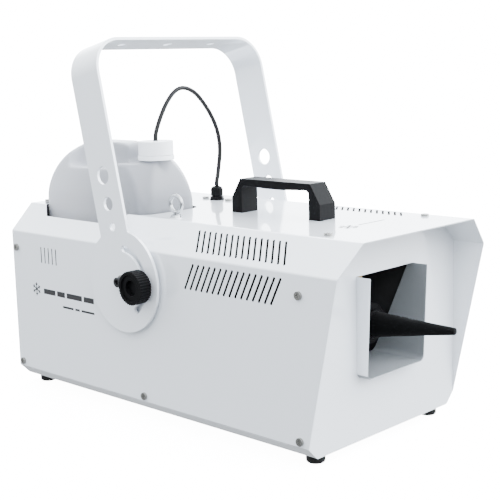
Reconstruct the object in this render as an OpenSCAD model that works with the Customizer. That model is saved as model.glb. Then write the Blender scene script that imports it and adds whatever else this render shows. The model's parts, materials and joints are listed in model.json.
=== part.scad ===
// Stage snow machine: a folded sheet-metal case with a tilting yoke, a liquid
// canister, a blower with a fabric sock, a pump and the controls at the rear.
// +X is the blowing direction, -Y is the side with the viewing notch, +Z is up.
// Positions written as plain numbers along X are measured from the rear panel.

/* [Case] */
// Length of the case at its foot, rear panel to front panel
body_len = 560; // [540:1:600]
// Width over the two side walls
body_w = 290; // [284:1:310]
// Height of the straight part of the side walls
side_h = 200; // [196:1:220]
// Width of the 45 degree bevel between side and top
bevel = 36; // [34:1:38]
// Width of the 45 degree chamfer along the floor
belly = 15; // [12:1:18]
// How far the hood reaches past the front panel at the top
hood_reach = 52; // [40:1:60]
// Sheet thickness of the case
sheet = 1.5; // [1.2:0.1:2]
// Height of the rubber feet
foot_h = 12; // [12:1:16]
// Diameter of the rubber feet
foot_d = 23; // [20:1:26]

/* [Outlet] */
// Width of the outlet opening
mouth_w = 114; // [104:1:116]
// Height of the outlet opening
mouth_h = 122; // [118:1:124]
// How far the outlet sleeve stands out at its upper edge
lip_top = 20; // [16:1:22]
// How far the outlet sleeve stands out at its lower edge
lip_low = 15; // [10:1:16]
// Length of the fabric sock from its clamp to its tip
sock_len = 112; // [100:1:112]
// Diameter of the sock at its clamp
sock_d = 31; // [28:1:32]

/* [Yoke] */
// Clear width between the yoke arms
yoke_gap = 298; // [297.5:0.5:299]
// Thickness of the yoke bar
bar_t = 4; // [4:0.5:5]
// Width of the yoke bar
bar_w = 55; // [50:1:56]
// Distance from the pivot to the outside of the crossbar
arm_len = 311; // [305:1:330]
// Inside bend radius between arm and crossbar
bend_r = 39; // [30:1:45]
// Radius of the round plate at the pivot
plate_r = 67; // [62:1:67]
// Radius of the arc slot about the pivot
slot_r = 43; // [42:1:44]
// Backward lean of the yoke
lean = 12.5; // [5:0.5:15]

/* [Canister] */
// Length of the canister
tank_len = 226; // [222:1:228]
// Thickness of the canister
tank_w = 98; // [94:1:100]
// Wall thickness of the canister
tank_wall = 2; // [1.5:0.1:2.5]
// Diameter of the screw cap
cap_d = 47; // [46:1:48]

/* [Vents] */
// Number of slots in each row
slots = 16; // [10:1:16]
// Distance from slot to slot
slot_pitch = 9.5; // [9:0.1:10]
// Width of a slot
slot_w = 3.3; // [2.6:0.1:3.6]

/* [Hose] */
// Outside diameter of the suction hose
hose_d = 6; // [5:0.5:7]

/* [Hidden] */

k45 = tan(22.5);            // corner shift of a 45 degree fold per unit of thickness
half_w = body_w / 2;
z_floor = foot_h;
z_side = z_floor + belly;
z_bend = z_side + side_h;
z_top = z_bend + bevel;
far = 1000;                 // size of a cut or an intersection that reaches past the whole machine
gap = 0.3;                  // air between bodies that move past each other

// The sock leans up a little and ends the machine at the front.
air_x = 545;                // where the sock is clamped
air_z = 142;                // height of the air stream there
air_lean = 4.3;             // upward tilt of the sock
sock_tip_d = 8;
rear_proud = 14;            // fuse cap stands out of the rear panel by this much
tip_x = air_x + sock_len * cos(air_lean) + 0.3;
rear_x = -(tip_x - rear_proud) / 2;

// Yoke
pivot_x = 255;
pivot_z = 184;
arm_in = yoke_gap / 2;
arm_out = arm_in + bar_t;
bolt_d = 8;                 // M8 pivot screws and knob studs
bolt_fit = 0.1;             // diameter play of the bolts in the holes they turn in
slot_from = -65.5;          // ends of the arc slot, in the arm's own frame
slot_to = 70.5;
washer_t = 1.6;
knob_d = 43;
knob_h = 24;
knob_boss = 6.5;            // narrow foot of the knob, under its ribbed part
stud_reach = 12;            // how far a knob's stud stands out of the yoke arm

// Canister
tank_x = 20;
tank_y = -103;
tank_bottom = 60;
tank_mid = tank_y + tank_w / 2;
tank_shoulder = 328;
tank_edge_r = 20;
rear_arc = [150, 248, 131];         // centre x, centre z and radius of the rear arch
front_arc = [99, 262, 148];         // the same for the front arch
side_arc_z = 262;                   // height and radius of the arches of the two flanks
side_arc_r = 335;
corner_arc = [14, 262, 93.6];       // the same for the corners, from the canister's middle
arch_foot = 255;
grip_from = 80;                     // the grip stands between these, along X
grip_to = 182;
grip_low = 320;
grip_top = 354;
grip_w = 36;
neck_x = 217;
neck_d = 40;
neck_bore = 34;
neck_top = 340;
cap_bottom = 331;
cap_top = 356;
cover_gap = 4;              // play of the canister in the opening of the cover
notch_top = [34, 222];      // viewing notch, along X at the fold
notch_low = [56, 200];      // and along X at its lower edge
notch_drop = 14;            // how far the notch runs down the bevel

// Vents: the rows start at these places
vent_x = 365;
vent_lean = 15;

// Gland, hose and pump stand in one line across the case.
gland_x = 210;
gland_y = 65;
gland_d = 21;
gland_top = 283;
hose_low = cap_top - 12;
pump_screw_dx = 23;

// Handle
handle_x = 320;
handle_len = 151;
handle_h = 45;
handle_w = 30;
handle_leg = 18;

// Blower
fan_x = 400;
fan_z = 89;
fan_r = 72;
fan_w = 46;
horn_r = 19;
motor_r = 48;
motor_len = 88;

// Hose route, from the canister's cap to the gland
hose_route = [
    [217, -54, 344], [217, -54, 357], [216.5, -52.5, 366], [216.5, -48.5, 376],
    [216, -42, 388], [215.5, -33.5, 401], [215, -25, 411], [214.5, -15, 419.5],
    [214, -4, 424], [213, 8, 424], [212.5, 19, 420.5], [212, 30, 414],
    [211.5, 40, 405], [211, 50, 394], [210.5, 59, 382], [210, 67, 368],
    [209.5, 72, 354], [209.5, 74, 340], [209.5, 73.5, 326], [209.5, 71, 312],
    [210, 68, 299], [210, 65.5, 290], [210, 65, 283.3]
];

// Inner tube from the pump to the spray jet
tube_route = [
    [262, 66, 214], [280, 66, 214], [300, 70, 211], [320, 76, 206], [345, 82, 201],
    [375, 86, 198], [405, 88, 196], [432, 86, 194], [455, 76, 191], [472, 60, 187],
    [484, 42, 182], [493, 26, 177], [501, 12, 173], [507, 4, 171], [515.5, 0, 170]
];

// ---------------------------------------------------------------- helpers

module from_rear() translate([rear_x, 0, 0]) children();
module both_sides() for (s = [0, 1]) mirror([0, s, 0]) children();
module along_y(len) rotate([90, 0, 0]) linear_extrude(len, center = true) children();
module along_x(len) rotate([90, 0, 90]) linear_extrude(len) children();
module rod_x(d, len) rotate([0, 90, 0]) cylinder(d = d, h = len, $fn = 48);
module rod_y(d, len, n = 48) rotate([90, 0, 0]) cylinder(d = d, h = len, center = true, $fn = n);

// Box between two corners
module box(a, b) translate(a) cube(b - a);

// Tube of diameter d swept along points, with a ring of n corners at each one
function unit(v) = v / norm(v);
function tangent(p, i) = unit(p[min(i + 1, len(p) - 1)] - p[max(i - 1, 0)]);
function ring(c, t, d, n, ref) =
    let (u = unit(cross(t, ref)), v = cross(t, u))
    [for (k = [0 : n - 1]) c + d / 2 * (cos(360 * k / n) * u + sin(360 * k / n) * v)];
module swept_tube(p, d, n, ref) {
    rings = [for (i = [0 : len(p) - 1]) each ring(p[i], tangent(p, i), d, n, ref)];
    last = (len(p) - 1) * n;
    walls = [
        for (i = [0 : len(p) - 2]) for (k = [0 : n - 1])
            [i * n + k, i * n + (k + 1) % n, (i + 1) * n + (k + 1) % n, (i + 1) * n + k]
    ];
    ends = [[for (k = [n - 1 : -1 : 0]) k], [for (k = [0 : n - 1]) last + k]];
    polyhedron(rings, concat(walls, ends), convexity = 8);
}

// Pan-head screw along +Z: head above z = 0, shank below
module pan_screw(d, len) {
    difference() {
        cylinder(d = 2 * d, h = 0.55 * d, $fn = 32);
        for (a = [0, 90]) rotate(a) translate([-0.55 * d, -0.1 * d, 0.25 * d]) cube([1.1 * d, 0.2 * d, d]);
    }
    translate([0, 0, -len]) cylinder(d = d - 0.1, h = len + 0.1, $fn = 32);
}

// Socket-head screw along +Z: head above z = 0, shank below
module cap_screw(d, len) {
    difference() {
        cylinder(d = 1.625 * d, h = d, $fn = 48);
        translate([0, 0, d / 2]) cylinder(d = 0.87 * d, h = d, $fn = 6);
    }
    translate([0, 0, -len]) cylinder(d = d, h = len + 0.1, $fn = 48);
}

// ---------------------------------------------------------------- case

// Outline of the case across X, moved inwards by t, from zlow to the top
function half_outline(t, zlow) = [
    [half_w - t, zlow], [half_w - t, z_bend - k45 * t], [half_w - bevel - k45 * t, z_top - t]
];
function back(p) = [for (i = [len(p) - 1 : -1 : 0]) p[i]];
function left_of(p) = [for (q = back(p)) [-q.x, q.y]];
function cover_outline(t, zlow) = concat(half_outline(t, zlow), left_of(half_outline(t, zlow)));
function floor_outline(t, zhigh) = [
    [half_w - t, zhigh], [half_w - t, z_side + k45 * t], [half_w - belly - k45 * t, z_floor + t],
    [-(half_w - belly - k45 * t), z_floor + t], [-(half_w - t), z_side + k45 * t], [-(half_w - t), zhigh]
];
function case_outline(t) = concat(
    cover_outline(t, z_side + k45 * t),
    [[-(half_w - belly - k45 * t), z_floor + t], [half_w - belly - k45 * t, z_floor + t]]
);

// A row of leaning slots, from the first slot's foot at the origin
module slot_row(count, rise, shift, depth) {
    linear_extrude(depth, center = true)
        for (i = [0 : count - 1]) translate([i * slot_pitch, 0]) {
            polygon([[-slot_w / 2, 0], [slot_w / 2, 0], [slot_w / 2 + shift, rise], [-slot_w / 2 + shift, rise]]);
            circle(d = slot_w, $fn = 20);
            translate([shift, rise]) circle(d = slot_w, $fn = 20);
        }
}

// Side walls carry five screws each, at these X and Z places
side_screws = [
    [10, z_bend - 24], [10, z_side + 7], [body_len / 2, z_side + 7],
    [body_len - 12, z_side + 7], [body_len - 11, z_bend - 24]
];
// Top screws at these X and Y places
top_screws = [[9, -85], [9, 85], [body_len - 10, -94], [body_len - 10, 94]];
pump_screws = [[gland_x - pump_screw_dx, gland_y], [gland_x + pump_screw_dx, gland_y]];

module side_holes(d) for (p = side_screws) translate([p.x, 0, p.y]) rod_y(d, 2 * body_w, 32);
module top_holes(d, places) for (p = places) translate([p.x, p.y, z_top - 40]) cylinder(d = d, h = 60, $fn = 32);

module tank_opening() {
    low = [tank_x - cover_gap, tank_y - cover_gap, z_top - 12];
    size = [tank_len + 2 * cover_gap, tank_w + 2 * cover_gap];
    translate(low) linear_extrude(20) rounded_rect(size, tank_edge_r + 2);
    translate([0, -half_w + bevel, z_top]) rotate([45, 0, 0])
        translate([0, 0, -6]) linear_extrude(12)
            polygon([
                [notch_top[0], 3], [notch_top[1], 3],
                [notch_low[1], -notch_drop * sqrt(2)], [notch_low[0], -notch_drop * sqrt(2)]
            ]);
}
module rounded_rect(size, r) {
    translate([r, 0]) square([size.x - 2 * r, size.y]);
    translate([0, r]) square([size.x, size.y - 2 * r]);
    for (x = [r, size.x - r]) for (y = [r, size.y - r]) translate([x, y]) circle(r = r, $fn = 48);
}

module vent_slots() {
    // upper rows on both bevels
    both_sides() translate([vent_x + vent_lean, -half_w + 7, z_bend + 7]) rotate([45, 0, 0])
        slot_row(slots, 29, -vent_lean, 12);
    // lower rows on both sides
    both_sides() translate([vent_x, -half_w, z_bend - 39]) rotate([90, 0, 0])
        slot_row(slots, 30, vent_lean, 12);
    // row in the top, at the far edge
    translate([vent_x + 18, 78, z_top]) slot_row(slots, 24, -18, 12);
    // small rows near the rear panel
    both_sides() translate([68.5, -half_w, z_bend - 40]) rotate([90, 0, 0])
        linear_extrude(12, center = true)
            for (i = [0 : 4]) translate([i * 8.5, 0]) {
                translate([-1, 0]) square([2, 21]);
                circle(d = 2, $fn = 16);
                translate([0, 21]) circle(d = 2, $fn = 16);
            }
}

module top_cover() color("white") from_rear() difference() {
    intersection() {
        along_x(body_len + hood_reach)
            polygon(concat(cover_outline(0, z_side + 0.2), back(cover_outline(sheet, z_side + 0.2))));
        along_y(2 * body_w) polygon([
            [0, z_side], [0, z_top], [body_len + hood_reach, z_top], [body_len, z_side]
        ]);
    }
    tank_opening();
    vent_slots();
    side_holes(5.2);
    top_holes(5.2, top_screws);
    top_holes(5.2, pump_screws);
    translate([gland_x, gland_y, z_top - 20]) cylinder(d = 12.4, h = 40, $fn = 48);
    for (x = handle_ends) translate([x, 0, z_top - 20]) cylinder(d = 5.3, h = 40, $fn = 32);
    translate([eye_at.x, eye_at.y, z_top - 20]) cylinder(d = 6.3, h = 40, $fn = 32);
    for (x = [pivot_x, pivot_x + slot_r]) translate([x, 0, pivot_z]) rod_y(8.6, 2 * body_w);
}

module base_tray() color("white") from_rear() difference() {
    union() {
        along_x(body_len) polygon(concat(floor_outline(0, z_side), back(floor_outline(sheet, z_side))));
        // inner flanges behind the side walls
        both_sides() box(
            [24, -half_w + sheet + 0.1, z_side - 2], [body_len - 26, -half_w + 2 * sheet, z_side + 18]
        );
    }
    side_holes(5);
    foot_holes();
}
module foot_holes() foot_places() cylinder(d = 5.2, h = z_floor + 20, $fn = 32);
module foot_places() for (x = [22, body_len - 18]) for (y = [-112, 112]) translate([x, y, 0]) children();

// A folded end panel: octagon plate with a flange all round, facing +X from x = 0
module end_panel(depth) difference() {
    along_x(depth) polygon(case_outline(sheet + 0.1));
    translate([sheet, 0, 0]) along_x(depth) polygon(case_outline(2 * sheet));
    // corners of the flange are open where it is folded
    for (s = [-1, 1]) for (c = [[half_w, z_bend], [half_w - bevel, z_top], [half_w, z_side], [half_w - belly, z_floor]])
        translate([sheet + 0.5, s * c.x - 4, c.y - 4]) cube([depth, 8, 8]);
}

module rear_panel() color("white") from_rear() difference() {
    end_panel(20);
    side_holes(5);
    top_holes(5, top_screws);
    foot_holes();
    // controls
    translate([-5, 75 - 30, 206]) cube([10, 60, 24]);
    for (y = button_y) translate([0, y, button_z]) rod_x_mid(9, 10);
    for (y = dmx_y) translate([0, y, dmx_z]) rod_x_mid(24, 10);
    translate([-5, inlet_at.x - 24.5, inlet_at.y - 14]) cube([10, 49, 28]);
    translate([-5, switch_at.x - 6.7, switch_at.y - 9.7]) cube([10, 13.4, 19.4]);
    translate([0, fuse_at.x, fuse_at.y]) rod_x_mid(13, 10);
}
module rod_x_mid(d, len) rotate([0, 90, 0]) cylinder(d = d, h = len, center = true, $fn = 48);

mouth_z = 89;               // lower edge of the outlet opening
mouth_r = 9;

module mouth_outline(t) translate([-mouth_w / 2 + t, mouth_z + t]) rounded_rect(
    [mouth_w - 2 * t, mouth_h + 20], mouth_r - t
);

module front_panel() color("white") from_rear() difference() {
    translate([body_len, 0, 0]) mirror([1, 0, 0]) end_panel(22);
    translate([body_len - 30, 0, 0]) along_x(60) intersection() {
        mouth_outline(0);
        translate([-mouth_w, mouth_z]) square([2 * mouth_w, mouth_h]);
    }
    side_holes(5);
    top_holes(5, top_screws);
    foot_holes();
}

// U-shaped sleeve of the outlet: floor and two walls, open at the top
module outlet_sleeve() color("white") from_rear() intersection() {
    translate([body_len - 70, 0, 0]) along_x(120) difference() {
        mouth_outline(0.2);
        mouth_outline(0.2 + sheet);
    }
    along_y(body_w) polygon([
        [body_len - 62, mouth_z - 1], [body_len - 8, mouth_z + mouth_h - 0.3],
        [body_len + lip_top, mouth_z + mouth_h - 0.3], [body_len + lip_low, mouth_z - 1]
    ]);
}

// Black box behind the outlet that keeps the liquid off the electrics
splash_x = 478;
module splash_box() color("black") from_rear() difference() {
    box([splash_x, -61, mouth_z - 3], [body_len - sheet - 0.4, 61, mouth_z + mouth_h + 4]);
    box([splash_x + 1.2, -59.8, mouth_z - 1.8], [body_len + 1, 59.8, mouth_z + mouth_h + 2.8]);
    translate([splash_x, 0, fan_z + fan_r - horn_r]) rod_x_mid(2 * horn_r + 1, 20);
    translate([splash_x - 5, 51, 184.5]) rod_x(14, 10);
}

module rubber_feet() color("black") from_rear() foot_places() difference() {
    rotate_extrude($fn = 64) polygon([
        [0, 0], [foot_d / 2 - 2, 0], [foot_d / 2 - 0.6, 1.2], [foot_d / 2, 3], [foot_d / 2, foot_h], [0, foot_h]
    ]);
    translate([0, 0, -1]) cylinder(d = 11, h = foot_h - 4, $fn = 32);
    cylinder(d = 5.1, h = 2 * foot_h, $fn = 32);
}

module foot_screws() color("silver") from_rear() foot_places()
    translate([0, 0, foot_h - 5]) mirror([0, 0, 1]) pan_screw(5, 11);

module cover_screws() color("silver") from_rear() {
    for (p = side_screws) both_sides() translate([p.x, -half_w, p.y]) rotate([90, 0, 0]) pan_screw(5, 7);
    for (p = top_screws) translate([p.x, p.y, z_top]) pan_screw(5, 7);
}

// Black foam pads behind the slots
module vent_filter() color("dimgray") from_rear() {
    both_sides() {
        box([vent_x - 12, -half_w + sheet + 0.2, z_bend - 46], [vent_x + 170, -half_w + 8, z_bend - 4]);
        translate([vent_x - 12, -half_w + bevel / 2, z_bend + bevel / 2]) rotate([45, 0, 0])
            box([0, -20, -8], [182, 17, -sheet - 0.3]);
        box([62, -half_w + sheet + 0.2, z_bend - 46], [110, -half_w + 5, z_bend - 12]);
    }
    box([vent_x - 12, 70, z_top - 8], [vent_x + 170, 107, z_top - sheet - 0.2]);
}

// ---------------------------------------------------------------- yoke

module at_pivot() translate([pivot_x, 0, pivot_z]) children();

// Pie slice with its point at the origin
module sector(from, to, r) polygon(concat(
    [[0, 0]], [for (i = [0 : 6]) let (a = from + (to - from) * i / 6) 1.2 * r * [cos(a), sin(a)]]
));

module arc_slot(w) {
    intersection() {
        difference() {
            circle(r = slot_r + w / 2, $fn = 96);
            circle(r = slot_r - w / 2, $fn = 96);
        }
        sector(slot_from, slot_to, slot_r + w);
    }
    for (a = [slot_from, slot_to]) translate(slot_r * [cos(a), sin(a)]) circle(d = w, $fn = 32);
}

// Holes in the arms: distance from the pivot and diameter
arm_holes = [[71, 11], [101, 18], [138, 23]];
bar_holes = [[0, 13], [-82, 10.5], [82, 10.5]];
bend_out = bend_r + bar_t;

module arm_plate() difference() {
    union() {
        circle(r = plate_r, $fn = 128);
        translate([-bar_w / 2, 0]) square([bar_w, arm_len - bend_out]);
    }
    circle(d = bolt_d + bolt_fit, $fn = 48);
    arc_slot(9);
    for (h = arm_holes) translate([0, h[0]]) circle(d = h[1], $fn = 48);
}

module yoke_bracket() color("white") from_rear() at_pivot() rotate([0, -lean, 0]) {
    difference() {
        union() {
            both_sides() {
                translate([0, -arm_in - bar_t / 2, 0]) along_y(bar_t) arm_plate();
                translate([-bar_w / 2, -arm_out + bend_out, arm_len - bend_out]) rotate([0, 90, 0]) rotate([0, 0, 180])
                    rotate_extrude(angle = 90, $fn = 128) translate([bend_r, 0]) square([bar_t, bar_w]);
            }
            box([-bar_w / 2, -arm_out + bend_out, arm_len - bar_t], [bar_w / 2, arm_out - bend_out, arm_len]);
        }
        for (h = bar_holes) translate([0, h[0], arm_len - 2 * bar_t]) cylinder(d = h[1], h = 3 * bar_t, $fn = 48);
    }
}

module pivot_screws() color("black") from_rear() at_pivot() both_sides()
    translate([0, -arm_out - gap - washer_t, 0]) rotate([90, 0, 0]) cap_screw(bolt_d, 24);

module flat_ring(d_out, d_in, y_from, y_to) difference() {
    translate([0, (y_from + y_to) / 2, 0]) rod_y(d_out, abs(y_to - y_from), 64);
    translate([0, (y_from + y_to) / 2, 0]) rod_y(d_in, 2 * abs(y_to - y_from) + 1, 48);
}

module pivot_washers() color("silver") from_rear() at_pivot() both_sides()
    flat_ring(17, bolt_d + 0.2, -arm_out - gap, -arm_out - gap - washer_t);

module pivot_spacers() color("dimgray") from_rear() both_sides() {
    at_pivot() flat_ring(24, bolt_d + 0.4, -half_w - 0.05, -arm_in + gap);
    at_pivot() translate([slot_r, 0, 0]) flat_ring(20, bolt_d + 0.4, -half_w - 0.05, -arm_in + gap);
}

module weld_nuts() color("silver") from_rear() both_sides() for (x = [0, slot_r])
    at_pivot() translate([x, -half_w + sheet, 0]) rotate([-90, 0, 0]) difference() {
        cylinder(d = 15, h = 6.5, $fn = 6);
        translate([0, 0, -1]) cylinder(d = bolt_d + bolt_fit, h = 9, $fn = 48);
    }

module at_knob() at_pivot() translate([slot_r, -arm_out - gap, 0]) rotate([90, 0, 0]) children();

// Studs held by the outer pair of weld nuts, for the knobs to screw on
module knob_studs() color("silver") from_rear() both_sides() at_knob()
    translate([0, 0, -24]) cylinder(d = bolt_d, h = 24 + stud_reach, $fn = 48);

// Ribbed knob on the -Y side
module tilt_knob() at_knob() difference() {
    union() {
        cylinder(d = 18, h = knob_boss + 2, $fn = 64);
        translate([0, 0, knob_boss]) linear_extrude(knob_h - knob_boss) difference() {
            circle(d = knob_d, $fn = 96);
            for (i = [0 : 35]) rotate(i * 10) translate([knob_d / 2 + 0.5, 0]) circle(d = 2.6, $fn = 16);
        }
    }
    translate([0, 0, knob_h - 2]) cylinder(d = 34, h = 3, $fn = 96);
    translate([0, 0, knob_h - 7]) cylinder(d = 20, h = 8, $fn = 64);
    translate([0, 0, -1]) cylinder(d = bolt_d + bolt_fit, h = stud_reach + 1.5, $fn = 48);
}
module tilt_knob_left() color("black") from_rear() mirror([0, 1, 0]) tilt_knob();
module tilt_knob_right() color("black") from_rear() tilt_knob();

// ---------------------------------------------------------------- fittings on top

handle_ends = [handle_x + handle_leg / 2, handle_x + handle_len - handle_leg / 2];
eye_at = [294, -91];

module handle_outline() difference() {
    polygon([
        [0, 0], [0, handle_h - 25], [15.5, handle_h],
        [handle_len - 15.5, handle_h], [handle_len, handle_h - 25], [handle_len, 0]
    ]);
    polygon([
        [handle_leg, -1], [handle_leg, handle_h - 12], [handle_leg + 4, handle_h - 8.5],
        [handle_len * 0.4, handle_h - 10.5], [handle_len * 0.6, handle_h - 10.5],
        [handle_len - handle_leg - 4, handle_h - 8.5], [handle_len - handle_leg, handle_h - 12],
        [handle_len - handle_leg, -1]
    ]);
}
module carry_handle() color("black") from_rear() difference() {
    translate([handle_x, 0, z_top]) along_y(handle_w) handle_outline();
    for (x = handle_ends) translate([x, 0, z_top - 1]) cylinder(d = 5.1, h = 15, $fn = 32);
}
module handle_screws() color("silver") from_rear() for (x = handle_ends)
    translate([x, 0, z_top - sheet]) mirror([0, 0, 1]) pan_screw(5, 13);

module safety_eye() color("silver") from_rear() translate([eye_at.x, eye_at.y, z_top]) {
    cylinder(d1 = 15, d2 = 13, h = 3, $fn = 48);
    cylinder(d = 8, h = 7, $fn = 48);
    translate([0, 0, 17]) rotate([90, 0, 0]) rotate_extrude($fn = 96) translate([10.6, 0]) circle(d = 5.4, $fn = 32);
    translate([0, 0, -10]) cylinder(d = 6, h = 11, $fn = 32);
    translate([0, 0, -sheet - 5.1]) cylinder(d = 11.5, h = 5, $fn = 6);
}

// ---------------------------------------------------------------- canister

module tank_cradle() color("gainsboro") from_rear() {
    low = [tank_x - 2, tank_y - 2, tank_bottom - gap];
    high = [tank_x + tank_len + 2, tank_y + tank_w + 2, tank_bottom + 60];
    difference() {
        box(low - [1.2, 1.2, 1.2], high + [1.2, 1.2, 0]);
        box(low, high + [0, 0, 1]);
    }
    // legs down to the floor
    for (x = [low.x + 14, high.x - 26]) for (y = [low.y + 4, high.y - 16])
        box([x, y, z_floor + sheet], [x + 12, y + 12, low.z - 1.2]);
}

// One arch in a plane: its disc, all on its straight side and all below its foot
module arch(centre, height, r, side) {
    translate([centre, height]) circle(r = r, $fn = 160);
    translate([centre + side, 0]) square([far, far]);
    translate([-far, 0]) square([2 * far, arch_foot]);
}
// Arches across two opposite corners, seen along the other diagonal
module corner_arches(angle, t)
    translate([tank_x + tank_len / 2, tank_mid, 0]) rotate(angle) along_y(far) intersection() {
        arch(corner_arc[0], corner_arc[1], corner_arc[2] - t, -far);
        arch(-corner_arc[0], corner_arc[1], corner_arc[2] - t, 0);
    }
// The canister's outside, moved inwards by t: arched along its length and across it
module tank_form(t) {
    flank = side_arc_r - tank_w / 2 - 0.5;
    intersection() {
        translate([tank_x + t, tank_y + t, tank_bottom + t]) linear_extrude(grip_top - tank_bottom - 2 * t)
            rounded_rect([tank_len - 2 * t, tank_w - 2 * t], tank_edge_r - t);
        translate([0, tank_mid, 0]) along_y(2 * tank_w) intersection() {
            arch(rear_arc[0], rear_arc[1], rear_arc[2] - t, 0);
            arch(front_arc[0], front_arc[1], front_arc[2] - t, -far);
        }
        along_x(far) intersection() {
            arch(tank_mid + flank, side_arc_z, side_arc_r - t, 0);
            arch(tank_mid - flank, side_arc_z, side_arc_r - t, -far);
        }
        corner_arches(44, t);
        corner_arches(-44, t);
    }
}
// What is cut away round the grip, and the hole for the fingers
module round_grip() {
    for (s = [0, 1]) translate([0, tank_mid, 0]) mirror([0, s, 0])
        box([grip_from, grip_w / 2, grip_low], [grip_to, tank_w, far]);
    box([grip_to, -far, tank_shoulder], [far, far, far]);
    translate([0, tank_mid, 0]) along_y(tank_w)
        polygon([[89, grip_top - 18], [146, grip_top - 18], [130, grip_low], [94, grip_low]]);
}
module tank() color("whitesmoke") from_rear() difference() {
    union() {
        difference() {
            tank_form(0);
            round_grip();
        }
        translate([neck_x, tank_mid, tank_shoulder - 28]) cylinder(d = neck_d, h = neck_top - tank_shoulder + 28, $fn = 64);
    }
    difference() {
        tank_form(tank_wall);
        box([grip_from - 6, -far, grip_low - tank_wall], [far, far, far]);
    }
    translate([neck_x, tank_mid, tank_shoulder - 34]) cylinder(d = neck_bore, h = 80, $fn = 64);
}

module tamper_ring() color("whitesmoke") from_rear() translate([neck_x, tank_mid, cap_bottom - 0.2]) difference() {
    cylinder(d = cap_d + 2, h = 6, $fn = 96);
    translate([0, 0, -1]) cylinder(d = neck_d + 0.2, h = 9, $fn = 64);
}
module tank_cap() color("whitesmoke") from_rear() translate([neck_x, tank_mid, 0]) difference() {
    translate([0, 0, cap_bottom + 6.1]) cylinder(d = cap_d, h = cap_top - cap_bottom - 6.1, $fn = 96);
    translate([0, 0, cap_bottom]) cylinder(d = neck_d + 0.6, h = neck_top - cap_bottom + 0.4, $fn = 64);
    translate([0, 0, cap_bottom]) cylinder(d = neck_bore, h = cap_top - cap_bottom - 2.5, $fn = 64);
    translate([0, 0, cap_bottom]) cylinder(d = hose_d + 1.6, h = 40, $fn = 32);
}
module suction_pipe() color("dimgray") from_rear() translate([neck_x, tank_mid, 0]) difference() {
    translate([0, 0, tank_bottom + 8]) cylinder(d = hose_d, h = hose_low - gap - tank_bottom - 8, $fn = 32);
    translate([0, 0, tank_bottom]) cylinder(d = hose_d - 2, h = 400, $fn = 32);
}
module suction_hose() color("black") from_rear() swept_tube(hose_route, hose_d, 10, [1, 0, 0]);

module gland_body() color("black") from_rear() translate([gland_x, gland_y, 0]) difference() {
    union() {
        translate([0, 0, z_top]) cylinder(d = gland_d, h = 1.6, $fn = 64);
        translate([0, 0, z_top]) cylinder(d = gland_d - 1, h = 5, $fn = 6);
        translate([0, 0, z_top - 12]) cylinder(d = 12, h = 20, $fn = 48);
        translate([0, 0, z_top - 7]) cylinder(d = 18, h = 4, $fn = 6);
    }
    translate([0, 0, z_top - 20]) cylinder(d = hose_d + 0.4, h = 60, $fn = 32);
}
module gland_nut() color("black") from_rear() translate([gland_x, gland_y, 0]) difference() {
    rotate_extrude($fn = 64) polygon([
        [0, z_top + 6], [8.8, z_top + 6], [8.8, z_top + 15], [7.6, z_top + 18], [4.6, gland_top - 0.3], [0, gland_top - 0.3]
    ]);
    translate([0, 0, z_top]) cylinder(d = 12.1, h = 9, $fn = 48);
    translate([0, 0, z_top]) cylinder(d = hose_d + 0.4, h = 60, $fn = 32);
}

// ---------------------------------------------------------------- blower and sock

module at_fan() translate([fan_x, 0, fan_z]) children();
horn_z = fan_r - horn_r;
horn_len = 66;              // the outlet of the housing ends clear of its drum

module blower_housing() color("dimgray") from_rear() at_fan() difference() {
    union() {
        rod_y(2 * fan_r, fan_w, 128);
        translate([0, 0, horn_z]) rod_x(2 * horn_r, horn_len);
    }
    rod_y(2 * fan_r - 4, fan_w - 4, 128);
    translate([0, 0, horn_z]) rod_x(2 * horn_r - 4, 80);
    translate([0, fan_w / 2, 0]) rod_y(46, 20, 64);
    translate([0, -fan_w / 2, 0]) rod_y(16, 20, 48);
}
module blower_impeller() color("silver") from_rear() at_fan() {
    difference() {
        union() {
            translate([0, -12, 0]) rod_y(120, 1.5, 96);
            translate([0, 12, 0]) rod_y(120, 1.5, 96);
            rod_y(22, 25.4, 48);
            for (i = [0 : 8]) rotate([0, i * 40, 0]) translate([10, -12, -0.8]) cube([48, 24, 1.6]);
        }
        translate([0, 12, 0]) difference() {
            rod_y(48, 4, 64);
            rod_y(22, 6, 48);
        }
    }
    translate([0, -fan_w / 2 - motor_len / 2 + 10, 0]) rod_y(8, motor_len + 20 - 6, 32);
}
module blower_motor() color("silver") from_rear() at_fan() difference() {
    union() {
        translate([0, -fan_w / 2 - motor_len / 2 - 0.05, 0]) rod_y(2 * motor_r, motor_len, 96);
        translate([0, -fan_w / 2 - motor_len - 4, 0]) rod_y(40, 8.2, 64);
    }
    translate([0, -fan_w / 2 - motor_len / 2, 0]) rod_y(8.1, motor_len + 40, 32);
}
module motor_bracket() color("gainsboro") from_rear() difference() {
    box([fan_x - 58, -fan_w / 2 - 74, z_floor + sheet], [fan_x + 58, -fan_w / 2 - 20, fan_z - 4]);
    at_fan() translate([0, -fan_w / 2 - 40, 0]) rod_y(2 * motor_r + 0.2, 120, 96);
    box([fan_x - 54, -fan_w / 2 - 71, z_floor + sheet - 1], [fan_x + 54, -fan_w / 2 - 23, fan_z - 54]);
}
module air_tube() color("black") from_rear() translate([fan_x + horn_len + 0.1, 0, fan_z + horn_z]) difference() {
    rod_x(2 * horn_r, air_x - fan_x - horn_len - 12);
    translate([-1, 0, 0]) rod_x(2 * horn_r - 4, far / 4);
}
module at_sock() translate([air_x, 0, air_z]) rotate([0, 90 - air_lean, 0]) children();
plate_x = air_x - 11.8;
module nozzle_plate() color("black") from_rear() difference() {
    translate([plate_x, 0, air_z]) rod_x(50, 5);
    translate([plate_x - 1, 0, air_z]) rod_x(24, 7);
}
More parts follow.
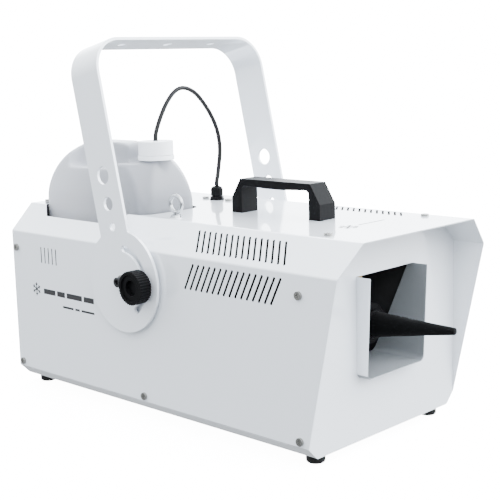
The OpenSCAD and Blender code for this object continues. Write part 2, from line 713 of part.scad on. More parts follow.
// The clamp's back is cut square to the plate, so that the sock leans up
module sock_clamp() color("black") from_rear() difference() {
    at_sock() translate([0, 0, -12]) cylinder(d = sock_d + 4, h = 13, $fn = 64);
    at_sock() translate([0, 0, -14]) cylinder(d = 24, h = 20, $fn = 48);
    at_sock() translate([0, 0, -0.2]) cylinder(d = sock_d + 0.2, h = 5, $fn = 64);
    translate([plate_x + 5.1 - 40, -40, air_z - 40]) cube([40, 80, 80]);
}
module foam_sock() color("black") from_rear() at_sock() cylinder(d1 = sock_d, d2 = sock_tip_d, h = sock_len, $fn = 64);
module spray_jet() color("goldenrod") from_rear() difference() {
    union() {
        translate([516.2, 0, 170]) rod_x(5, 18);
        translate([518.2, 0, 170]) rod_x(9, 8);
        // strap up to the roof of the splash box
        box([519, -4, 170], [521, 4, mouth_z + mouth_h + 2.7]);
    }
    translate([510, 0, 170]) rod_x(1.6, 40);
}

// ---------------------------------------------------------------- pump and controls

pump_z = 214;
module pump_bracket() color("gainsboro") from_rear() difference() {
    union() {
        box([gland_x - 32, gland_y - 14, z_top - sheet - 2.1], [gland_x + 32, gland_y + 14, z_top - sheet - 0.1]);
        for (x = [gland_x - 32, gland_x + 30]) box([x, gland_y - 14, pump_z - 12], [x + 2, gland_y + 14, z_top - sheet - 2]);
    }
    translate([gland_x, gland_y, 200]) cylinder(d = 22, h = 80, $fn = 48);
    for (p = pump_screws) translate([p.x, p.y, 230]) cylinder(d = 5, h = 40, $fn = 32);
    translate([gland_x - 60, gland_y, pump_z]) rod_x(14.4, 120);
}
module bracket_screws() color("silver") from_rear()
    for (p = pump_screws) translate([p.x, p.y, z_top]) pan_screw(5, 7);
module liquid_pump() color("dimgray") from_rear() translate([gland_x, gland_y, pump_z]) difference() {
    union() {
        translate([-28, 0, 0]) rod_x(26, 56);
        translate([-52, 0, 0]) rod_x(14, 98);
        translate([45.9, 0, 0]) rod_x(6, 6);
        translate([-20, -17, -20]) cube([40, 34, 33]);
        translate([0, 0, 10]) cylinder(d = hose_d, h = z_top - 12 - pump_z - 10.1, $fn = 32);
    }
    translate([-46, 0, 0]) rod_x(8.1, 82);
}
module pump_piston() color("silver") from_rear() translate([gland_x - 32, gland_y, pump_z]) rod_x(8, 40);
module pump_spring() color("silver") from_rear() translate([gland_x + 12.4, gland_y, pump_z]) difference() {
    rod_x(7.4, 22);
    translate([-1, 0, 0]) rod_x(4.6, 24);
}
module liquid_tube() color("white") from_rear() swept_tube(tube_route, 4, 8, [0, 0, 1]);

module power_board() color("darkgreen") from_rear() {
    box([50, 30, 30], [160, 125, 31.6]);
    for (x = [56, 154]) for (y = [36, 119]) translate([x, y, z_floor + sheet]) cylinder(d = 7, h = 30 - z_floor - sheet, $fn = 24);
    box([62, 44, 31.6], [92, 84, 58]);
    box([100, 50, 31.6], [124, 76, 52]);
    box([132, 44, 31.6], [148, 112, 46]);
}

button_y = [45, 65, 85, 105];
button_z = 186;
dmx_y = [42, 98];
dmx_z = 146;
inlet_at = [98, 62];
switch_at = [44, 62];
fuse_at = [44, 98];

module control_board() color("darkgreen") from_rear() {
    box([14, 32, 172], [15.6, 118, 236]);
    for (y = button_y) box([10.4, y - 3, button_z - 3], [14, y + 3, button_z + 3]);
    box([8, 47, 207], [14, 103, 229]);
}
module display_window() color("black") from_rear() box([-0.5, 45.2, 206.2], [7.8, 104.8, 229.8]);

module button(y) translate([-2.6, y, button_z]) {
    rod_x(8.4, 8);
    translate([7.9, 0, 0]) rod_x(4, 3);
}
module button_menu() color("black") from_rear() button(button_y[0]);
module button_up() color("black") from_rear() button(button_y[1]);
module button_down() color("black") from_rear() button(button_y[2]);
module button_enter() color("black") from_rear() button(button_y[3]);

module switch_frame() color("black") from_rear() translate([0, switch_at.x, switch_at.y]) difference() {
    union() {
        box([-2, -8.5, -11.5], [-0.1, 8.5, 11.5]);
        box([-0.2, -6.6, -9.6], [20, 6.6, 9.6]);
    }
    box([-3, -5.4, -8.6], [12, 5.4, 8.6]);
    translate([1.5, 0, 0]) rod_y(3.1, 13, 32);
}
module power_rocker() color("red") from_rear() translate([1.5, switch_at.x, switch_at.y]) rotate([0, 7, 0]) {
    box([-4, -5, -7.6], [2, 5, 7.6]);
    rod_y(3, 12.6, 32);
}
module mains_inlet() color("black") from_rear() translate([0, inlet_at.x, inlet_at.y]) difference() {
    union() {
        box([-3, -25, -15], [-0.1, 25, 15]);
        box([-0.2, -24.3, -13.8], [26, 24.3, 13.8]);
    }
    box([-4, -12.5, -9], [16, 12.5, 9]);
}
module fuse_holder() color("black") from_rear() translate([0, fuse_at.x, fuse_at.y]) {
    translate([-rear_proud, 0, 0]) rod_x(14, rear_proud - 2);
    translate([-2.1, 0, 0]) rod_x(17, 2);
    translate([-0.2, 0, 0]) rod_x(12.8, 30);
}
module dmx_socket(bore) difference() {
    union() {
        translate([-2, -13, -15.5]) cube([1.9, 26, 31]);
        rod_x(23.6, 24);
    }
    translate([-3, 0, 0]) rod_x(bore, 18);
}
module dmx_in() color("black") from_rear() translate([0, dmx_y[0], dmx_z]) {
    dmx_socket(20);
    for (a = [60, 180, 300]) translate([4, 6 * sin(a), 6 * cos(a)]) rod_x(2.4, 12);
}
module dmx_out() color("black") from_rear() translate([0, dmx_y[1], dmx_z]) {
    difference() {
        union() {
            dmx_socket(20);
            translate([4, 0, 0]) rod_x(17, 14);
        }
        for (a = [0, 120, 240]) translate([2, 6 * sin(a), 6 * cos(a)]) rod_x(2.6, 12);
    }
}

top_cover();
base_tray();
front_panel();
rear_panel();
outlet_sleeve();
splash_box();
rubber_feet();
foot_screws();
cover_screws();
vent_filter();
yoke_bracket();
pivot_screws();
pivot_washers();
pivot_spacers();
weld_nuts();
knob_studs();
tilt_knob_left();
tilt_knob_right();
carry_handle();
handle_screws();
safety_eye();
tank_cradle();
tank();
tank_cap();
tamper_ring();
suction_pipe();
suction_hose();
gland_body();
gland_nut();
blower_housing();
blower_impeller();
blower_motor();
motor_bracket();
air_tube();
nozzle_plate();
sock_clamp();
foam_sock();
spray_jet();
liquid_pump();
pump_piston();
pump_spring();
pump_bracket();
bracket_screws();
liquid_tube();
power_board();
control_board();
display_window();
button_menu();
button_up();
button_down();
button_enter();
switch_frame();
power_rocker();
mains_inlet();
fuse_holder();
dmx_in();
dmx_out();
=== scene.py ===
"""Looks of a stage snow machine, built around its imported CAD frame. Lengths are in metres."""

import json
import math

import bmesh
import bpy
from mathutils import Matrix, Vector

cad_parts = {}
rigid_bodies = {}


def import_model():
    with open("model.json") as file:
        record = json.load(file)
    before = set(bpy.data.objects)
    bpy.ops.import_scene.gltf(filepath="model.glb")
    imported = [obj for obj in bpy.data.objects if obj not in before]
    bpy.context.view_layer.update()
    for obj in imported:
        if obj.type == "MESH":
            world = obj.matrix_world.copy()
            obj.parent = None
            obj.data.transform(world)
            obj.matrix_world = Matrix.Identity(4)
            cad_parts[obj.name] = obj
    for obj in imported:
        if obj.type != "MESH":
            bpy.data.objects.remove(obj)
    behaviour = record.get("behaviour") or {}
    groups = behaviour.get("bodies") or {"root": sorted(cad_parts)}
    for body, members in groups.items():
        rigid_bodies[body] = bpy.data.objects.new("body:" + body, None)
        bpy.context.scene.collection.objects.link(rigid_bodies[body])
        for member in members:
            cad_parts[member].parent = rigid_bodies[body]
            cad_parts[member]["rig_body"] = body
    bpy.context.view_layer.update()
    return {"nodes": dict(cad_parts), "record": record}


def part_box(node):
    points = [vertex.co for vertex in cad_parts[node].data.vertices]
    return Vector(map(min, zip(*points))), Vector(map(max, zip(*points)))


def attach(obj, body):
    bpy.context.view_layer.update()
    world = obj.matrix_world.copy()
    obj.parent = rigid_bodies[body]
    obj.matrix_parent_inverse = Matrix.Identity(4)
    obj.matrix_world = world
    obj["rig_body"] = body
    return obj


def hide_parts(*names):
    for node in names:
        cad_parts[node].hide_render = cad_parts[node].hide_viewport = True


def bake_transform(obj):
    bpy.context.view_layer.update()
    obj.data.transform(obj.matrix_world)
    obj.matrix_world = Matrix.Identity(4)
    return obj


MM = 0.001

# The camera: its place, and its turn from +Y, its tilt down and its roll in degrees
CAMERA_AT = (1.0025, -1.0217, 0.4596)
CAMERA_TURN = 44.03
CAMERA_DOWN = 9.91
CAMERA_ROLL = -1.45
CAMERA_LENS = 78.2
CAMERA_SENSOR = 36.0

# Strength of the studio sky: the least it has, overhead, and what each side adds
SKY_LEAST = 0.75
SKY_ABOVE = 4.0
SKY_FRONT = 4.0
SKY_BEHIND = 6.5
SKY_REAR = 1.4
SKY_COLOUR = (0.905, 0.95, 1.0)

# The floor and backdrop: radius and height along half its section, and its glow
FLOOR_SECTION = [
    (0.0, 0.0), (6.0, 0.0), (8.0, 0.3), (9.5, 1.5), (10.0, 4.0), (10.0, 9.0), (5.0, 12.0), (0.0, 13.0),
]
FLOOR_TURNS = 48
FLOOR_GAP = 0.2 * MM
FLOOR_GLOW = 13.0

# Colours of the case: its white powder coat, a grey painted shade on the inner walls of the outlet,
# and a near black painted shade for the unlit inside of the cover
POWDER = (0.77, 0.80, 0.84)
OUTLET_SHADE = (0.22, 0.235, 0.25)
DARK_INSIDE = (0.01, 0.01, 0.01)

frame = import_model()
NODES = frame["nodes"]
SLOTS = {p["node"]: p["material_slot"] for p in frame["record"]["subparts"]}

# The rear face of the case: places along X are measured from it, as in the CAD.
REAR_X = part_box("top_cover")[0].x
TOP_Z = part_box("top_cover")[1].z
SIDE_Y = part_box("top_cover")[0].y
MIDDLE_Z = (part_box("base_tray")[0].z + TOP_Z) / 2

# The canister's neck, in millimetres
NECK_X = 217
NECK_Y = -54
NECK_BORE_R = 17.5

SHEET = 1.5 * MM  # thickness of the case's steel
CLEARANCE = 0.2 * MM  # between the canister's skin and the opening it lifts through
OUTER_FACE = 80 * MM  # the outer faces of the case are further from its middle line than this


def place(x, y, z):
    """A point given in millimetres from the rear face, as metres in the row frame."""
    return Vector((REAR_X + x * MM, y * MM, z * MM))


# ---------------------------------------------------------------- camera, light, floor


def make_camera():
    data = bpy.data.cameras.new("photo_camera")
    data.lens = CAMERA_LENS
    data.sensor_width = CAMERA_SENSOR
    data.clip_end = 50.0
    data.dof.use_dof = False
    camera = bpy.data.objects.new("photo_camera", data)
    bpy.context.scene.collection.objects.link(camera)
    turn, down, roll = (math.radians(a) for a in (CAMERA_TURN, CAMERA_DOWN, CAMERA_ROLL))
    forward = Vector(
        (-math.sin(turn) * math.cos(down), math.cos(turn) * math.cos(down), -math.sin(down))
    )
    level = Vector((math.cos(turn), math.sin(turn), 0.0))
    upright = level.cross(forward)
    right = math.cos(roll) * level + math.sin(roll) * upright
    up = math.cos(roll) * upright - math.sin(roll) * level
    facing = Matrix((right, up, -forward)).transposed().to_4x4()
    camera.matrix_world = Matrix.Translation(CAMERA_AT) @ facing
    bpy.context.scene.camera = camera


def add_node(tree, kind, operation=None):
    node = tree.nodes.new("ShaderNode" + kind)
    if operation:
        node.operation = operation
    return node


def combine(tree, operation, a, b):
    """The socket of a math node that takes two sockets."""
    node = add_node(tree, "Math", operation)
    tree.links.new(a, node.inputs[0])
    tree.links.new(b, node.inputs[1])
    return node.outputs["Value"]


def make_light():
    """A soft studio sky: bright above and behind, less from the outlet's end, grey towards -Y."""
    world = bpy.data.worlds.new("studio")
    bpy.context.scene.world = world
    world.use_nodes = True
    tree = world.node_tree
    background = tree.nodes["Background"]
    direction = add_node(tree, "TexCoord")
    parts = add_node(tree, "SeparateXYZ")
    tree.links.new(direction.outputs["Generated"], parts.inputs["Vector"])

    def ramp(axis, *stops):
        """A smooth change over one axis of the direction: from, to, first value, last value."""
        node = add_node(tree, "MapRange")
        node.interpolation_type = "SMOOTHERSTEP"
        for key, value in zip(("From Min", "From Max", "To Min", "To Max"), stops):
            node.inputs[key].default_value = value
        tree.links.new(parts.outputs[axis], node.inputs["Value"])
        return node.outputs["Result"]

    above = ramp("Z", -0.1, 0.7, SKY_LEAST, SKY_ABOVE)
    front = ramp("X", 0.0, 0.8, 0.0, SKY_FRONT)
    behind = ramp("Y", -0.1, 0.6, 0.0, SKY_BEHIND)
    rear = ramp("X", -0.1, -0.9, 0.0, SKY_REAR)
    front = combine(tree, "MULTIPLY", front, ramp("Z", 0.0, 0.5, 0.0, 1.0))
    sides = combine(tree, "MULTIPLY", combine(tree, "ADD", behind, rear), ramp("Z", -0.4, 0.1, 0.0, 1.0))
    strength = combine(tree, "ADD", combine(tree, "ADD", above, front), sides)
    tree.links.new(strength, background.inputs["Strength"])
    background.inputs["Color"].default_value = (*SKY_COLOUR, 1)


def make_floor():
    """One pale sweep: a floor that rises into a far backdrop. Only the camera sees it."""
    points = []
    for radius, height in FLOOR_SECTION:
        for k in range(FLOOR_TURNS):
            angle = 2 * math.pi * k / FLOOR_TURNS
            points.append((radius * math.cos(angle), radius * math.sin(angle), height - FLOOR_GAP))
    faces = []
    for low in range(0, (len(FLOOR_SECTION) - 1) * FLOOR_TURNS, FLOOR_TURNS):
        high = low + FLOOR_TURNS
        for k in range(FLOOR_TURNS):
            after = (k + 1) % FLOOR_TURNS
            faces.append((low + k, low + after, high + after, high + k))
    mesh = bpy.data.meshes.new("floor")
    mesh.from_pydata(points, [], faces)
    mesh.shade_smooth()
    floor = bpy.data.objects.new("floor", mesh)
    bpy.context.scene.collection.objects.link(floor)
    glow = {"Emission_Color": (1, 1, 1, 1), "Emission_Strength": FLOOR_GLOW}
    mesh.materials.append(plain("floor_white", (0.9, 0.9, 0.9), 0.9, **glow))
    for kind in ("diffuse", "glossy", "transmission", "shadow"):
        setattr(floor, "visible_" + kind, False)


# ---------------------------------------------------------------- materials


def plain(name, colour, roughness=0.5, metallic=0.0, coat=0.0, **more):
    """A Principled material. More inputs are given by name, with _ for a space."""
    material = bpy.data.materials.new(name)
    material.use_nodes = True
    shader = material.node_tree.nodes["Principled BSDF"]
    shader.inputs["Base Color"].default_value = (*colour, 1)
    shader.inputs["Roughness"].default_value = roughness
    shader.inputs["Metallic"].default_value = metallic
    shader.inputs["Coat Weight"].default_value = coat
    for key, value in more.items():
        shader.inputs[key.replace("_", " ")].default_value = value
    return material


def add_grain(material, scale, height, detail=3.0):
    """A fine bump of a height in metres, so that a surface isn't mirror flat."""
    tree = material.node_tree
    shader = tree.nodes["Principled BSDF"]
    coordinate = add_node(tree, "TexCoord")
    noise = add_node(tree, "TexNoise")
    noise.inputs["Scale"].default_value = scale
    noise.inputs["Detail"].default_value = detail
    bump = add_node(tree, "Bump")
    bump.inputs["Strength"].default_value = 1.0
    bump.inputs["Distance"].default_value = height
    tree.links.new(coordinate.outputs["Object"], noise.inputs["Vector"])
    tree.links.new(noise.outputs["Fac"], bump.inputs["Height"])
    tree.links.new(bump.outputs["Normal"], shader.inputs["Normal"])
    return material


def white_powder(name="white_powder"):
    material = plain(name, POWDER, roughness=0.3, coat=1.0, Coat_Roughness=0.03, Coat_IOR=1.9)
    return add_grain(material, 900, 0.000006)


def outwardness(tree, coordinate):
    """How far a face is from the case's middle line, measured along its normal."""
    from_middle = add_node(tree, "VectorMath", "SUBTRACT")
    from_middle.inputs[1].default_value = (0.0, 0.0, MIDDLE_Z)
    across = add_node(tree, "VectorMath", "MULTIPLY")
    across.inputs[1].default_value = (0.0, 1.0, 1.0)
    along_normal = add_node(tree, "VectorMath", "DOT_PRODUCT")
    geometry = add_node(tree, "NewGeometry")
    tree.links.new(coordinate.outputs["Object"], from_middle.inputs[0])
    tree.links.new(from_middle.outputs["Vector"], across.inputs[0])
    tree.links.new(across.outputs["Vector"], along_normal.inputs[0])
    tree.links.new(geometry.outputs["True Normal"], along_normal.inputs[1])
    return along_normal.outputs["Value"]


def all_hold(tree, tests):
    """A socket that is 1 where every test holds and 0 elsewhere."""
    coordinate = add_node(tree, "TexCoord")
    parts = add_node(tree, "SeparateXYZ")
    tree.links.new(coordinate.outputs["Object"], parts.inputs["Vector"])
    looks_at = {axis: parts.outputs[axis] for axis in "XYZ"}
    looks_at["outward"] = outwardness(tree, coordinate)
    held = None
    for source, comparison, limit in tests:
        test = add_node(tree, "Math", comparison)
        test.inputs[1].default_value = limit
        tree.links.new(looks_at[source], test.inputs[0])
        result = test.outputs["Value"]
        held = combine(tree, "MULTIPLY", held, result) if held else result
    return held


def shade_painted_where(name, shade_colour, *tests):
    """White powder coat with a darker colour painted in as shade, without a gloss, where every test
    holds.

    A test is what it looks at, a comparison and a limit in metres. It looks at "X", "Y" or "Z",
    or at "outward": how far a face is from the case's middle line, measured along its normal.
    """
    material = white_powder(name)
    tree = material.node_tree
    shader = tree.nodes["Principled BSDF"]
    # Where every test holds, the powder colour gives way to painted shade
    is_shaded = all_hold(tree, tests)
    mix = add_node(tree, "MixRGB")
    mix.inputs["Color1"].default_value = (*POWDER, 1)
    mix.inputs["Color2"].default_value = (*shade_colour, 1)
    tree.links.new(is_shaded, mix.inputs["Fac"])
    tree.links.new(mix.outputs["Color"], shader.inputs["Base Color"])
    coated = add_node(tree, "Math", "SUBTRACT")
    coated.inputs[0].default_value = 1.0
    tree.links.new(is_shaded, coated.inputs[1])
    tree.links.new(coated.outputs["Value"], shader.inputs["Coat Weight"])
    return material


def black_paint():
    material = plain("black_paint", (0.024, 0.024, 0.025), roughness=0.5, Specular_IOR_Level=0.2)
    return add_grain(material, 700, 0.00002)


def zinc():
    return add_grain(plain("zinc", (0.27, 0.265, 0.25), roughness=0.22, metallic=1.0), 500, 0.00002)


def black_steel():
    return plain("black_steel", (0.006, 0.006, 0.007), roughness=0.35, metallic=0.3)


def chrome():
    return plain("chrome", (0.42, 0.43, 0.44), roughness=0.08, metallic=1.0)


def aluminium():
    return add_grain(plain("aluminium", (0.55, 0.56, 0.57), roughness=0.4, metallic=1.0), 400, 0.00003)


def brass():
    return plain("brass", (0.55, 0.38, 0.14), roughness=0.3, metallic=1.0)


def black_rubber():
    material = plain("black_rubber", (0.006, 0.006, 0.006), roughness=0.5, Specular_IOR_Level=0.2)
    return add_grain(material, 600, 0.00001)


def black_plastic():
    material = plain("black_plastic", (0.003, 0.003, 0.0033), roughness=0.42, Specular_IOR_Level=0.05)
    return add_grain(material, 1500, 0.00003)


def white_plastic():
    depth = {"Subsurface_Weight": 0.1, "Subsurface_Radius": (0.004, 0.004, 0.005)}
    return add_grain(plain("white_plastic", (0.85, 0.86, 0.88), roughness=0.4, **depth), 500, 0.00003)


def clear_plastic():
    """Natural polyethylene: milky, with a painted shade that darkens it to grey towards the front."""
    # grey is a painted shade: the front of the canister, which gets less light, is darkened in its
    # colour
    pale, grey = (0.60, 0.61, 0.65), (0.17, 0.175, 0.19)
    depth = {"Subsurface_Weight": 0.5, "Subsurface_Radius": (0.02, 0.02, 0.024)}
    material = plain("clear_plastic", pale, roughness=0.35, **depth)
    tree = material.node_tree
    coordinate = add_node(tree, "TexCoord")
    parts = add_node(tree, "SeparateXYZ")
    along = add_node(tree, "MapRange")
    along.inputs["From Min"].default_value = REAR_X + 40 * MM
    along.inputs["From Max"].default_value = REAR_X + 260 * MM
    # The ramp paints shade along X, from the milky colour at the rear to the grey at the front
    ramp = add_node(tree, "ValToRGB")
    ramp.color_ramp.elements[0].color = (*pale, 1)
    ramp.color_ramp.elements[1].color = (*grey, 1)
    tree.links.new(coordinate.outputs["Object"], parts.inputs["Vector"])
    tree.links.new(parts.outputs["X"], along.inputs["Value"])
    tree.links.new(along.outputs["Result"], ramp.inputs["Fac"])
    tree.links.new(ramp.outputs["Color"], tree.nodes["Principled BSDF"].inputs["Base Color"])
    return add_grain(material, 350, 0.00006)


def red_plastic():
    return plain("red_plastic", (0.45, 0.01, 0.01), roughness=0.2, coat=0.3)


def circuit_board():
    return plain("circuit_board", (0.02, 0.14, 0.05), roughness=0.35)


def dark_glass():
    return plain("dark_glass", (0.005, 0.006, 0.008), roughness=0.06, coat=0.5)


def black_fabric():
    matt = {"Sheen_Weight": 0.02, "Specular_IOR_Level": 0.1}
    material = plain("black_fabric", (0.0016, 0.0016, 0.0018), roughness=0.95, **matt)
    return add_grain(material, 1800, 0.0002, 2.0)


def filter_foam():
    material = plain("filter_foam", (0.004, 0.004, 0.004), roughness=1.0, Specular_IOR_Level=0.1)
    return add_grain(material, 700, 0.0006)


MATERIALS = {
    make.__name__: make()
    for make in (
        white_powder, black_paint, zinc, black_steel, chrome, aluminium, brass, black_rubber,
        black_plastic, white_plastic, clear_plastic, red_plastic, circuit_board, dark_glass,
        black_fabric, filter_foam,
    )
}


# ---------------------------------------------------------------- pieces from CAD nodes


def add_piece(name, mesh, body, slot, *stands_for):
    """An object with this mesh, on a body, with the finish of a record slot."""
    piece = bpy.data.objects.new(name, mesh)
    bpy.context.scene.collection.objects.link(piece)
    mesh.materials.clear()
    mesh.materials.append(MATERIALS[slot])
    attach(piece, body)
    if stands_for:
        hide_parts(*stands_for)
    return piece


def repaint(node, material):
    """Another finish for the visual piece of a CAD node."""
    bpy.data.objects["skin." + node].data.materials[0] = material


EDGE = 0.3  # usual rounding of an edge, in millimetres
SHARP_ANGLE = math.radians(32)  # edges that turn more than this are rounded
FLAT_ANGLE = math.radians(0.6)  # faces that turn less than this are one face
FOLD_LENGTH = 0.3
WELD = 1e-6


def welded(mesh):
    form = bmesh.new()
    form.from_mesh(mesh)
    bmesh.ops.remove_doubles(form, verts=form.verts, dist=WELD)
    return form


def is_fold(edge):
    """An outer 45 degree fold of the case: a long edge along X between two flat faces."""
    if len(edge.link_faces) != 2 or edge.calc_length() < FOLD_LENGTH:
        return False
    along = (edge.verts[0].co - edge.verts[1].co).normalized()
    turn = edge.calc_face_angle_signed()
    return abs(along.x) > 0.98 and math.radians(30) < turn < math.radians(60)


def dressed(node, edge, fold):
    """A copy of a CAD node with small round edges, and the folds of the sheet rounded more."""
    mesh = NODES[node].data.copy()
    mesh.name = node
    form = welded(mesh)
    bmesh.ops.dissolve_limit(form, angle_limit=FLAT_ANGLE, verts=form.verts, edges=form.edges)
    folds = [e for e in form.edges if fold and is_fold(e)]
    if folds:
        bmesh.ops.bevel(
            form, geom=folds, offset=fold * MM, offset_type="OFFSET", segments=4, profile=0.5,
            affect="EDGES",
        )
    form.to_mesh(mesh)
    form.free()
    piece = add_piece("skin." + node, mesh, NODES[node]["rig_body"], SLOTS[node], node)
    mesh.shade_smooth()
    mesh.set_sharp_from_angle(angle=SHARP_ANGLE)
    rounding = piece.modifiers.new("edges", "BEVEL")
    rounding.width = edge * MM
    rounding.segments = 2
    rounding.limit_method = "ANGLE"
    rounding.angle_limit = SHARP_ANGLE
    rounding.use_clamp_overlap = True
    facing = piece.modifiers.new("facing", "WEIGHTED_NORMAL")
    facing.weight = 100
    facing.keep_sharp = True


def islands(form):
    """The vertices of each separate shell, lowest shell first."""
    left, found = set(form.verts), []
    while left:
        stack, island = [left.pop()], []
        while stack:
            vertex = stack.pop()
            island.append(vertex)
            for edge in vertex.link_edges:
                other = edge.other_vert(vertex)
                if other in left:
                    left.remove(other)
                    stack.append(other)
        found.append(island)
    return sorted(found, key=lambda island: min(v.co.z for v in island))


def outer_form(node):
    """The closed outside of the hollow canister, with its inner wall and its bore left out."""
    form = welded(NODES[node].data)
    bore = Vector((REAR_X + NECK_X * MM, NECK_Y * MM))
    in_bore = [f for f in form.faces if all((v.co.xy - bore).length < NECK_BORE_R * MM for v in f.verts)]
    bmesh.ops.delete(form, geom=in_bore, context="FACES")
    for inner in islands(form)[1:]:
        bmesh.ops.delete(form, geom=inner, context="VERTS")
    bmesh.ops.holes_fill(form, edges=[e for e in form.edges if e.is_boundary])
    mesh = bpy.data.meshes.new(node)
    form.to_mesh(mesh)
    form.free()
    return mesh


def blow_moulded(node, slot, pitch, rounds):
    """A CAD node as a blow-moulded skin: one soft surface with no hard edge."""
    piece = add_piece("skin." + node, outer_form(node), NODES[node]["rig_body"], slot, node)
    remesh = piece.modifiers.new("skin", "REMESH")
    remesh.mode = "VOXEL"
    remesh.voxel_size = pitch * MM
    remesh.use_smooth_shade = True
    soften = piece.modifiers.new("soften", "SMOOTH")
    soften.factor = 0.5
    soften.iterations = rounds
    clear = piece.modifiers.new("clear", "DISPLACE")
    clear.strength = -CLEARANCE
    clear.mid_level = 0.0


# ---------------------------------------------------------------- hose, sock and prints


def smooth_route(points, steps):
    """More points on a Catmull-Rom curve through these."""
    ends = [2 * points[0] - points[1], *points, 2 * points[-1] - points[-2]]
    route = []
    for a, b, c, d in zip(ends, ends[1:], ends[2:], ends[3:]):
        bend = 2 * a - 5 * b + 4 * c - d
        twist = 3 * b - a - 3 * c + d
        for k in range(steps):
            t = k / steps
            route.append(0.5 * (2 * b + (c - a) * t + bend * t**2 + twist * t**3))
    return route + [points[-1]]


def ring_points(centre, radii, across, up):
    """Points round a centre, one for each radius."""
    points = []
    for k, radius in enumerate(radii):
        angle = 2 * math.pi * k / len(radii)
        points.append(centre + radius * (math.cos(angle) * across + math.sin(angle) * up))
    return points


def loft(name, rings, *caps):
    """A smooth mesh through rings of points, with a face on each ring named in caps."""
    form = bmesh.new()
    rows = [[form.verts.new(point) for point in ring] for ring in rings]
    for low, high in zip(rows, rows[1:]):
        for k in range(len(low)):
            after = (k + 1) % len(low)
            form.faces.new((low[k], low[after], high[after], high[k]))
    for cap in caps:
        form.faces.new(rows[cap])
    bmesh.ops.recalc_face_normals(form, faces=form.faces)
    mesh = bpy.data.meshes.new(name)
    form.to_mesh(mesh)
    form.free()
    mesh.shade_smooth()
    return mesh


def tube(name, route, radius, sides=16):
    """A closed round tube along a route."""
    rings = []
    side = Vector((1, 0, 0))
    for i, point in enumerate(route):
        along = (route[min(i + 1, len(route) - 1)] - route[max(i - 1, 0)]).normalized()
        across = along.cross(side).normalized()
        side = across.cross(along).normalized()
        rings.append(ring_points(point, [radius] * sides, side, across))
    return loft(name, rings, 0, -1)


# The hose's route in millimetres, from the gland to the canister's cap
HOSE_ROUTE = [
    (210, 65, 283.3), (210, 65.5, 290), (210, 68, 299), (209.5, 71, 312), (209.5, 73.5, 326),
    (209.5, 74, 340), (209.5, 72, 354), (210, 67, 368), (210.5, 59, 382), (211, 50, 394),
    (211.5, 40, 405), (212, 30, 414), (212.5, 19, 420.5), (213, 8, 424), (214, -4, 424),
    (214.5, -15, 419.5), (215, -25, 411), (215.5, -33.5, 401), (216, -42, 388),
    (216.5, -48.5, 376), (216.5, -52.5, 366), (217, -54, 357), (217, -54, 344),
]
HOSE_D = 6 * MM
HOSE_STEPS = 4


def make_hose():
    route = smooth_route([place(*p) for p in HOSE_ROUTE], HOSE_STEPS)
    hose = bpy.data.objects.new("hose", tube("hose", route, HOSE_D / 2))
    bpy.context.scene.collection.objects.link(hose)
    hose.data.materials.append(MATERIALS["black_rubber"])
    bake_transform(hose)
    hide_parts("suction_hose")


SOCK_RINGS = 56
SOCK_SIDES = 72
SOCK_LEAN = math.radians(4.3)
SOCK_BASE_R = 15.5 * MM
SOCK_TIP_R = 4.0 * MM
SOCK_LENGTH = 112 * MM
SOCK_SLACK = 0.25 * MM
SOCK_SEAM = 0.5 * MM
SOCK_CLOTH = 0.4 * MM


def sock_radius(t, angle):
    """Radius of the sock at a share t of its length: a cone with slack ripples and a sewn seam."""
    radius = SOCK_BASE_R + (SOCK_TIP_R - SOCK_BASE_R) * t
    slack = math.sin(math.pi * min(1, t * 1.15)) * SOCK_SLACK
    ripple = math.sin(5 * angle + 7 * t) * 0.5 + math.sin(3 * angle - 16 * t + 1) * 0.35
    seam = SOCK_SEAM * math.exp(-(((angle - 1.5 * math.pi) / 0.07) ** 2))
    return radius - slack + slack * ripple + seam * (1 - 0.6 * t)


def make_sock():
    """A pointed sock of thin cloth: slack ripples along it, a sewn seam below and a closed tip."""
    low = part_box("foam_sock")[0]
    along = Vector((math.cos(SOCK_LEAN), 0, math.sin(SOCK_LEAN)))
    upright = Vector((-math.sin(SOCK_LEAN), 0, math.cos(SOCK_LEAN)))
    base = Vector((low.x + SOCK_BASE_R * along.z, 0, low.z + SOCK_BASE_R * along.x))
    rings = []
    for i in range(SOCK_RINGS + 1):
        t = i / SOCK_RINGS
        centre = base + along * SOCK_LENGTH * t
        radii = [sock_radius(t, 2 * math.pi * k / SOCK_SIDES) for k in range(SOCK_SIDES)]
        rings.append(ring_points(centre, radii, Vector((0, 1, 0)), upright))
    mesh = loft("sock", rings, -1)
    sock = add_piece("skin.foam_sock", mesh, NODES["foam_sock"]["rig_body"], "black_fabric", "foam_sock")
    cloth = sock.modifiers.new("cloth", "SOLIDIFY")
    cloth.thickness = SOCK_CLOTH
    cloth.offset = -1.0


PRINT_LIFT = 0.06 * MM  # how far a print stands off its wall


def flat_print(name, shapes, at, across, up):
    """Printed marks as thin plates on the case: polygons in millimetres round a point."""
    outward = across.cross(up)
    form = bmesh.new()
    for shape in shapes:
        face = form.faces.new([
            form.verts.new(at + (across * x + up * y) * MM + outward * PRINT_LIFT) for x, y in shape
        ])
        face.normal_update()
        if face.normal.dot(outward) < 0:
            face.normal_flip()
    mesh = bpy.data.meshes.new(name)
    form.to_mesh(mesh)
    form.free()
    add_piece(name, mesh, "case", "black_paint")


def bar(x0, y0, x1, y1, width):
    """A straight stroke between two points, as a polygon."""
    a, b = Vector((x0, y0)), Vector((x1, y1))
    side = (b - a).orthogonal().normalized() * width / 2
    return [a + side, a - side, b - side, b + side]


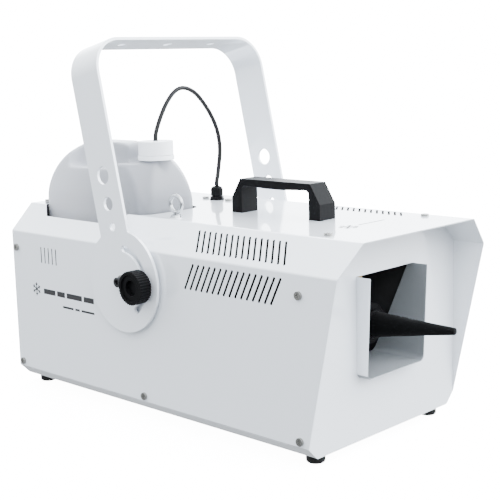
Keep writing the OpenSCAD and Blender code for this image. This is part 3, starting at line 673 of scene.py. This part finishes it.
def snowflake(radius, width):
    """Six arms, each with two twigs, as strokes."""
    strokes = []
    for k in range(6):
        angle = math.radians(30 + 60 * k)
        way = Vector((math.cos(angle), math.sin(angle)))
        strokes.append(bar(0, 0, *(way * radius), width))
        knee = way * radius * 0.58
        for turn in (50, -50):
            twig = Matrix.Rotation(math.radians(turn), 2) @ way
            strokes.append(bar(*knee, *(knee + twig * radius * 0.34), width * 0.8))
    return strokes


def make_prints():
    """Blank bars and a snowflake where the real machine has its marks."""
    side = snowflake(9.5, 1.7)
    for start, end in ((17, 44), (48, 66), (70, 104), (108, 130)):
        side.append(bar(start, -1, end, -1, 7.5))
    for start, end in ((60, 84), (88, 98), (102, 130)):
        side.append(bar(start, -18, end, -18, 3))
    flat_print("print_side", side, place(53, SIDE_Y / MM, 147), Vector((1, 0, 0)), Vector((0, 0, 1)))
    top = snowflake(13, 2.2)
    top.append(bar(19, 0, 70, 0, 2.6))
    flat_print("print_top", top, place(528, -30, TOP_Z / MM), Vector((0, 1, 0)), Vector((-1, 0, 0)))


# ---------------------------------------------------------------- the scene

make_camera()
make_light()
make_floor()
make_hose()
make_sock()
make_prints()

# Edge rounding in millimetres where it isn't the usual one, and the rounding of the case's folds
EDGES = {
    "carry_handle": 1.3, "cover_screws": 0.8, "handle_screws": 0.8, "bracket_screws": 0.8,
    "tilt_knob_left": 0.45, "tilt_knob_right": 0.45, "pivot_screws": 0.5, "tank_cap": 0.8,
    "tamper_ring": 0.5, "top_cover": 0.08,
}
FOLDS = {"top_cover": 1.6, "base_tray": 1.6}
MADE = ("suction_hose", "foam_sock", "tank")

blow_moulded("tank", "clear_plastic", 2.0, 24)
for node in NODES:
    if node not in MADE:
        dressed(node, EDGES.get(node, EDGE), FOLDS.get(node, 0.0))

sleeve_low, sleeve_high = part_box("outlet_sleeve")
# The outlet sleeve's inner walls get a grey painted shade, for the light that the hood keeps out
repaint("outlet_sleeve", shade_painted_where(
    "powder_with_painted_shade_in_outlet", OUTLET_SHADE,
    ("Y", "LESS_THAN", sleeve_high.y - SHEET / 2),
    ("Y", "GREATER_THAN", sleeve_low.y + SHEET / 2),
    ("Z", "GREATER_THAN", sleeve_low.z + SHEET / 2),
))
# The inside of the cover and the walls of its vent slots get a near black painted shade, where no light
# reaches
repaint("top_cover", shade_painted_where(
    "powder_with_painted_shade_inside", DARK_INSIDE,
    ("outward", "LESS_THAN", OUTER_FACE),
    ("X", "GREATER_THAN", REAR_X + SHEET),
    ("X", "LESS_THAN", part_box("front_panel")[0].x),
))
